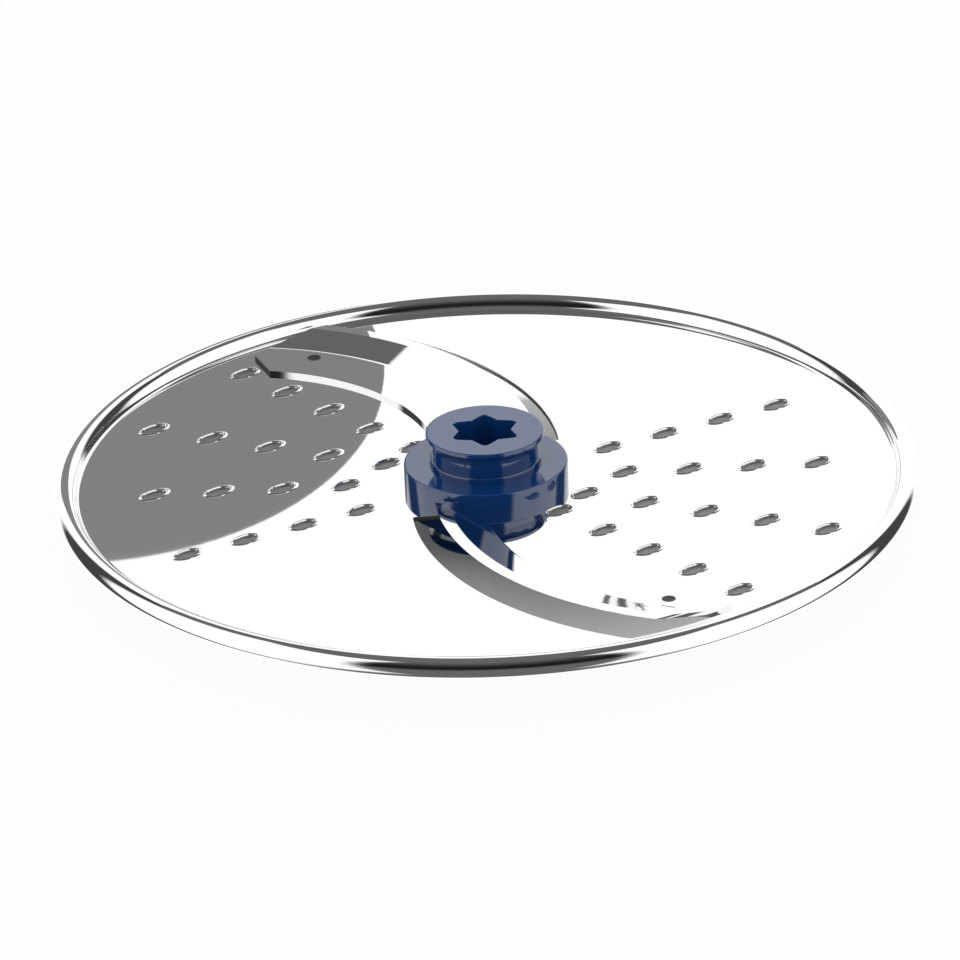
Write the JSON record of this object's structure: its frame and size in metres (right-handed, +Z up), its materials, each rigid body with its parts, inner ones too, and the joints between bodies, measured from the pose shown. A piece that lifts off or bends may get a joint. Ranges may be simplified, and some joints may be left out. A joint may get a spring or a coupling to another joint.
{
  "type": "food processor disc",
  "caption": "Round polished steel slicing disc for a food processor, with bent blades over curved slots, rows of pips, a curled rim and a blue hub with a star socket.",
  "frame": {"origin": "on the hub axis, at the face of the hub's lower knob, where the disc stands", "axes": "+Z up along the hub axis, out of the side that the blades are on; -Y towards the viewer of the picture, with the front blade on that side; +X to the right"},
  "size_m": [0.175, 0.175, 0.0226],
  "materials": {
    "polished_steel": "mirror-polished stainless steel",
    "blade_steel": "polished stainless steel with a ground bevel",
    "dark_steel": "dark satin steel",
    "blue_plastic": "glossy moulded plastic"
  },
  "bodies": {
    "root": {"disc_plate": "polished_steel", "front_blade": "blade_steel", "rear_blade": "blade_steel", "blade_rivets": "dark_steel", "hub": "blue_plastic"}
  },
  "joints": []
}
